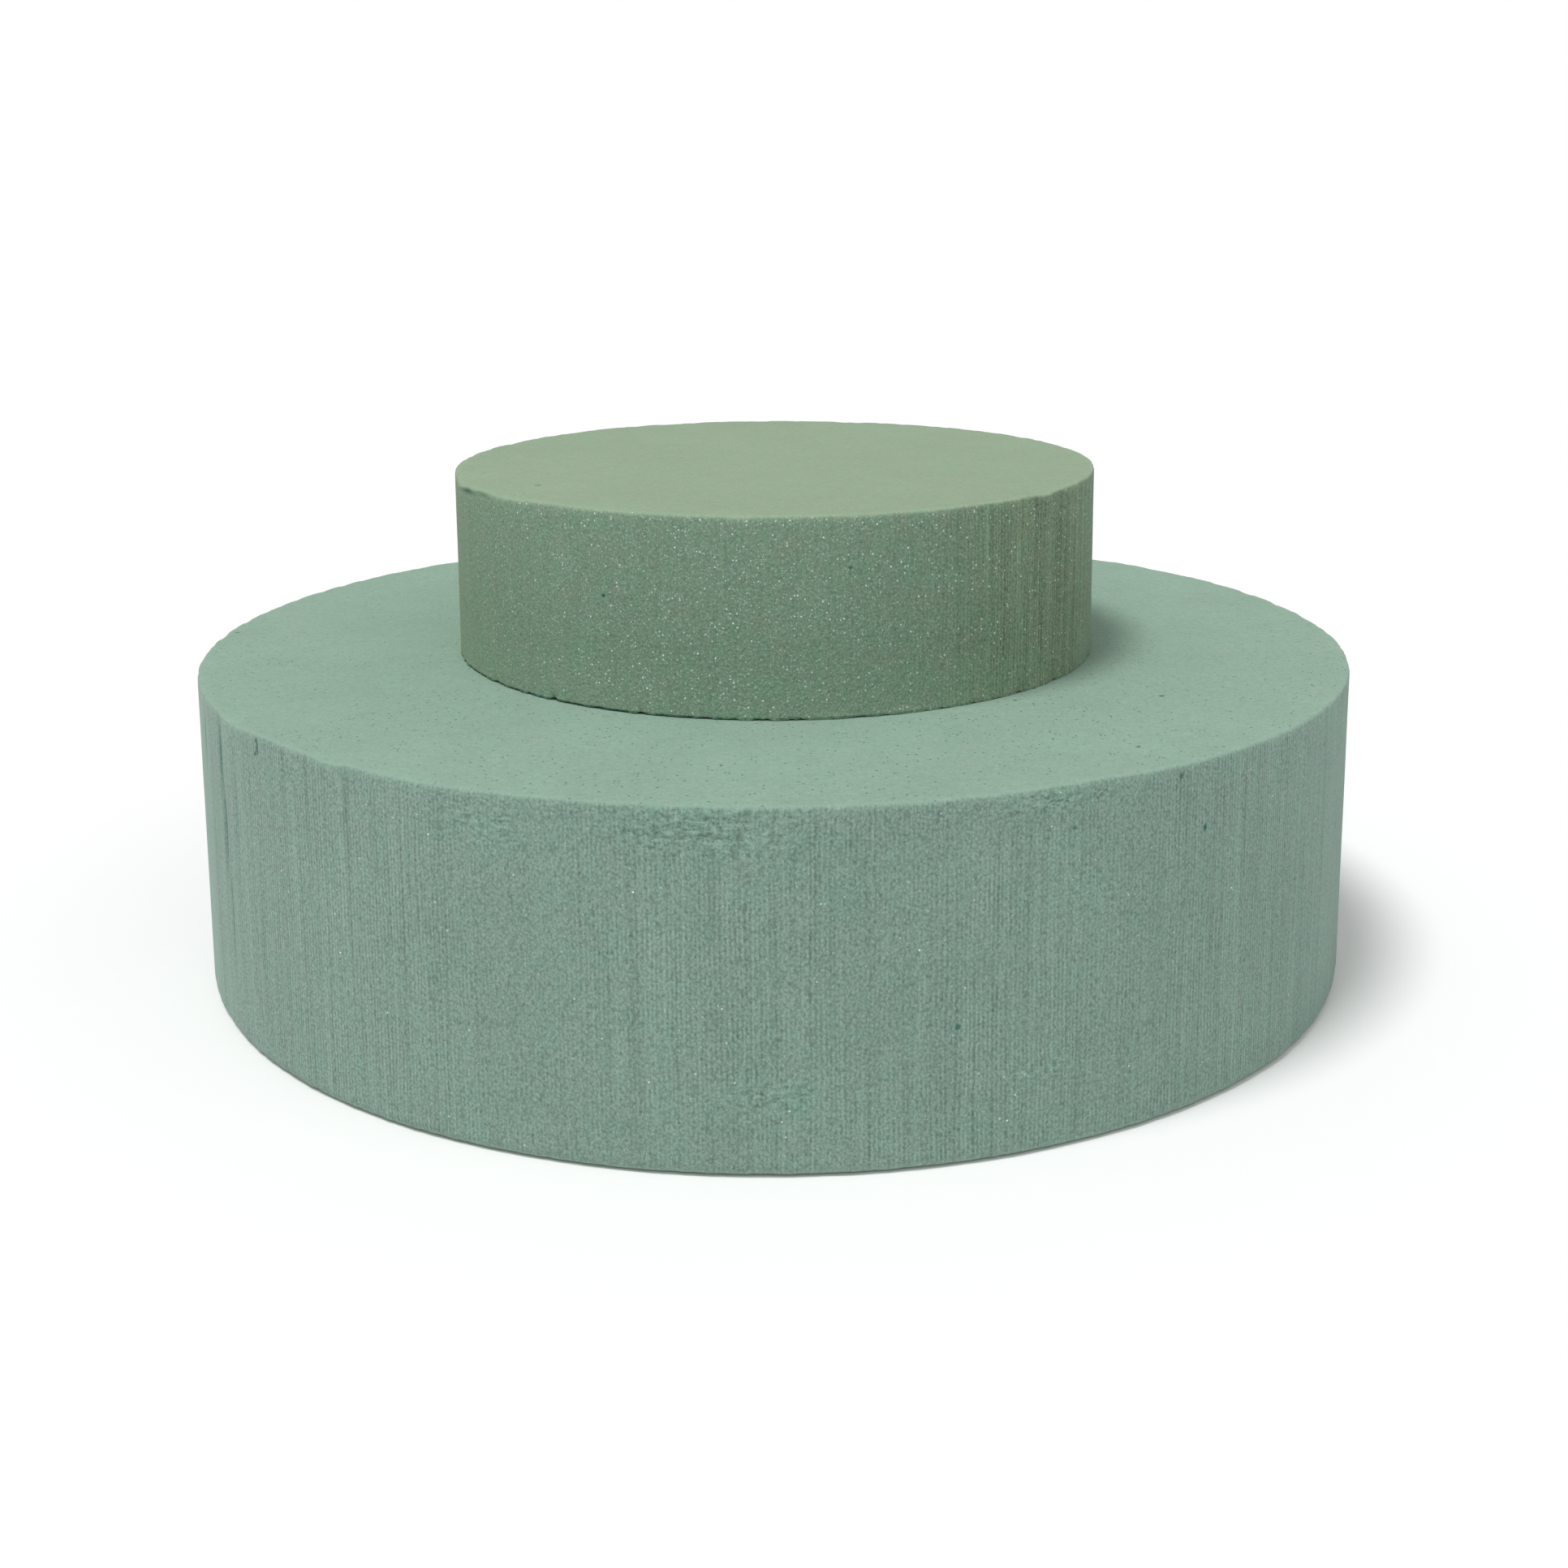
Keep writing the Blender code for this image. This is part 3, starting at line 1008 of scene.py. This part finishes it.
def foam_material(name, profile, cut_colour, wall_colour, chosen, looks, pits, top_pits):
    """The whole foam: its colour, painted glints over it, painted shade in hollows, gloss and
    relief.
    """
    desk = FoamDesk(name, profile, chosen.colours, chosen.sizes, looks)
    painted_glints, painted_glint_colour = desk.paint_glints()
    depth = desk.hollows(pits, top_pits)
    # painted glints, white specks that stand in for light caught by cell walls, mixed into the
    # colour
    base = desk.mix(painted_glints, desk.foam_colour(cut_colour, wall_colour), painted_glint_colour)
    # painted shade in the hollows, towards the pit colour
    base = desk.mix(depth, base, tuple(chosen.colours.pit))
    bump = desk.node("ShaderNodeBump")
    bump.inputs["Strength"].default_value = 0.6
    bump.inputs["Distance"].default_value = BUMP_HEIGHT * MM
    desk.put(bump.inputs["Height"], desk.relief(depth))
    inputs = desk.shader.inputs
    desk.put(inputs["Base Color"], base)
    # where glints are painted, the foam is also less rough
    desk.put(inputs["Roughness"], desk.line(painted_glints, -0.45, 0.93))
    desk.put(inputs["Normal"], bump.outputs[0])
    inputs["Metallic"].default_value = 0.0
    inputs["IOR"].default_value = 1.35
    inputs["Specular IOR Level"].default_value = looks["gloss"]
    inputs["Sheen Weight"].default_value = looks["sheen"]
    inputs["Sheen Roughness"].default_value = 0.6
    return desk.material


def plain_material(name, colour):
    """One even dull colour, for the floor."""
    desk = NodeDesk(name)
    desk.shader.inputs["Base Color"].default_value = (*colour, 1.0)
    desk.shader.inputs["Roughness"].default_value = 0.9
    desk.shader.inputs["Specular IOR Level"].default_value = 0.1
    return desk.material


# ---------------------------------------------------------------- operators


def settings():
    """What the user has set in the panel."""
    return bpy.context.scene.foam_stack


def show(name, mesh, material, body, node):
    """Put a finished piece in the scene in place of its CAD node."""
    mesh.materials.append(material)
    piece = bpy.data.objects.new(name, mesh)
    bpy.context.scene.collection.objects.link(piece)
    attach(piece, body)
    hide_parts(node)
    return piece


class FOAM_OT_lower_disc(bpy.types.Operator):
    """Build the wide disc that the stack stands on"""

    bl_idname = "foam.lower_disc"
    bl_label = "Lower disc"

    def execute(self, context):
        chosen = settings()
        profile = DiscProfile("lower_disc", *(MM * part for part in LOWER_ROUNDS))
        mesh = foam_disc("lower_foam", profile, chosen.sizes, LOWER_WEAR, seed=100)
        material = foam_material(
            "lower_foam", profile, tuple(chosen.colours.lower_cut),
            tuple(chosen.colours.lower_wall), chosen, LOWER_LOOKS, LOWER_PITS, LOWER_TOP_PITS)
        show("lower_foam", mesh, material, "lower", "lower_disc")
        return {"FINISHED"}


class FOAM_OT_upper_disc(bpy.types.Operator):
    """Build the small disc that stands loose on the wide one"""

    bl_idname = "foam.upper_disc"
    bl_label = "Upper disc"

    def execute(self, context):
        chosen = settings()
        profile = DiscProfile("upper_disc", *(MM * part for part in UPPER_ROUNDS))
        mesh = foam_disc("upper_foam", profile, chosen.sizes, UPPER_WEAR, seed=300)
        material = foam_material(
            "upper_foam", profile, tuple(chosen.colours.upper_cut),
            tuple(chosen.colours.upper_wall), chosen, UPPER_LOOKS, UPPER_PITS, UPPER_TOP_PITS)
        show("upper_foam", mesh, material, "upper", "upper_disc")
        return {"FINISHED"}


def add_sun(name, turn, rise, spread, strength):
    """A distant lamp as wide as spread, shining from a turn round the axis and a rise above it."""
    lamp = bpy.data.lights.new(name, "SUN")
    lamp.energy = strength
    lamp.angle = math.radians(spread)
    sun = bpy.data.objects.new(name, lamp)
    bpy.context.scene.collection.objects.link(sun)
    sun.rotation_euler = (0.0, math.radians(90.0 - rise), math.radians(turn))
    return sun


class FOAM_OT_stage(bpy.types.Operator):
    """Build the floor, the lamps, the white room and the camera"""

    bl_idname = "foam.stage"
    bl_label = "Stage"

    def execute(self, context):
        scene = context.scene
        stage = settings().stage
        self.add_floor(stage)
        self.add_room(scene, stage)
        add_sun("key_lamp", *KEY_LAMP, stage.key)
        add_sun("fill_lamp", *FILL_LAMP, stage.fill)
        self.add_camera(scene, stage)
        scene.view_settings.view_transform = "Standard"
        return {"FINISHED"}

    def add_floor(self, stage):
        """A plain square floor, a hair under the foot so that the two never fight."""
        low = CAD_BOX[0].z - FLOOR_DROP * MM
        mesh = bpy.data.meshes.new("floor")
        corners = [(x * FLOOR_REACH, y * FLOOR_REACH, low)
                   for x, y in ((-1, -1), (1, -1), (1, 1), (-1, 1))]
        mesh.from_pydata(corners, [], [(0, 1, 2, 3)])
        mesh.materials.append(plain_material("floor", tuple(stage.floor)))
        floor = bpy.data.objects.new("floor", mesh)
        bpy.context.scene.collection.objects.link(floor)

    def add_room(self, scene, stage):
        """White all round where it is looked at, and dimmer as a light, as behind a softbox."""
        world = bpy.data.worlds.new("room")
        scene.world = world
        world.use_nodes = True
        tree = world.node_tree
        background = tree.nodes["Background"]
        background.inputs["Color"].default_value = (1.0, 1.0, 1.0, 1.0)
        path = tree.nodes.new("ShaderNodeLightPath")
        level = tree.nodes.new("ShaderNodeMapRange")
        level.inputs["To Min"].default_value = stage.sky
        level.inputs["To Max"].default_value = 1.0
        tree.links.new(path.outputs["Is Camera Ray"], level.inputs["Value"])
        tree.links.new(level.outputs[0], background.inputs["Strength"])

    def add_camera(self, scene, stage):
        """Look along +Y and down, at a point beside the axis and half way up the wide disc."""
        low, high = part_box("lower_disc")
        target = np.array([AIM_ASIDE * MM, 0.0, low.z + AIM_SHARE_UP * (high.z - low.z)])
        rise = stage.camera_elevation
        ahead = np.array([0.0, math.cos(rise), -math.sin(rise)])
        right = np.array([1.0, 0.0, 0.0])
        up = np.cross(right, ahead)
        lean = stage.camera_roll
        leant_right = math.cos(lean) * right + math.sin(lean) * up
        leant_up = math.cos(lean) * up - math.sin(lean) * right
        place = target - stage.camera_distance * ahead
        data = bpy.data.cameras.new("camera")
        data.sensor_width = 36.0
        data.lens = stage.lens
        data.clip_start = 0.01
        data.clip_end = 50.0
        camera = bpy.data.objects.new("camera", data)
        scene.collection.objects.link(camera)
        columns = np.stack([leant_right, leant_up, -ahead, place], axis=1)
        camera.matrix_world = Matrix([*columns.tolist(), [0.0, 0.0, 0.0, 1.0]])
        scene.camera = camera


class FOAM_PT_stack(bpy.types.Panel):
    """Sizes, colours and builders of the foam stack"""

    bl_idname = "FOAM_PT_stack"
    bl_label = "Floral Foam Stack"
    bl_space_type = "VIEW_3D"
    bl_region_type = "UI"
    bl_category = "Foam"

    def draw(self, context):
        layout = self.layout
        chosen = context.scene.foam_stack
        for group in (chosen.sizes, chosen.colours, chosen.stage):
            box = layout.box()
            for name in group.bl_rna.properties.keys():
                if name not in {"rna_type", "name"}:
                    box.prop(group, name)
        for builder in BUILDERS:
            layout.operator(builder.bl_idname)


BUILDERS = (FOAM_OT_lower_disc, FOAM_OT_upper_disc, FOAM_OT_stage)
CLASSES = (FoamColours, FoamSizes, StageSettings, FoamStackSettings, *BUILDERS, FOAM_PT_stack)


def register():
    for cls in CLASSES:
        bpy.utils.register_class(cls)
    bpy.types.Scene.foam_stack = PointerProperty(type=FoamStackSettings)


def unregister():
    del bpy.types.Scene.foam_stack
    for cls in reversed(CLASSES):
        bpy.utils.unregister_class(cls)


def main():
    register()
    bpy.ops.foam.lower_disc()
    bpy.ops.foam.upper_disc()
    bpy.ops.foam.stage()
    bpy.context.view_layer.update()


if __name__ == "__main__":
    main()
